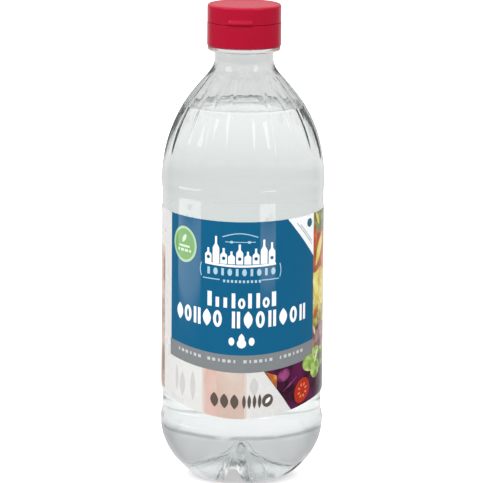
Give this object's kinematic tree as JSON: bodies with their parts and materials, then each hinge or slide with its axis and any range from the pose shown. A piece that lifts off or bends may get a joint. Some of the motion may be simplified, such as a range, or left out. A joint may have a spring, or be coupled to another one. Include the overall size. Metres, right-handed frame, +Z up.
{
  "type": "bottle of white vinegar",
  "caption": "Clear plastic bottle filled with colourless vinegar, with ribbed shoulder, channelled base, wrap label and shut red flip-top cap.",
  "frame": {"origin": "on the table plane, on the bottle's axis, at the centre of the standing pads", "axes": "+Z up along the bottle's axis, front of the label towards -Y, +X to the right of someone who faces the label"},
  "size_m": [0.068, 0.068, 0.2],
  "materials": {
    "clear_bottle": "clear thin-walled plastic, glossy",
    "vinegar": "clear colourless liquid",
    "cap_plastic": "smooth moulded crimson plastic",
    "label_film": "printed film, satin"
  },
  "bodies": {
    "root": {"bottle": "clear_bottle", "vinegar": "vinegar", "cap": "cap_plastic", "lid": "cap_plastic", "label": "label_film"}
  },
  "joints": []
}
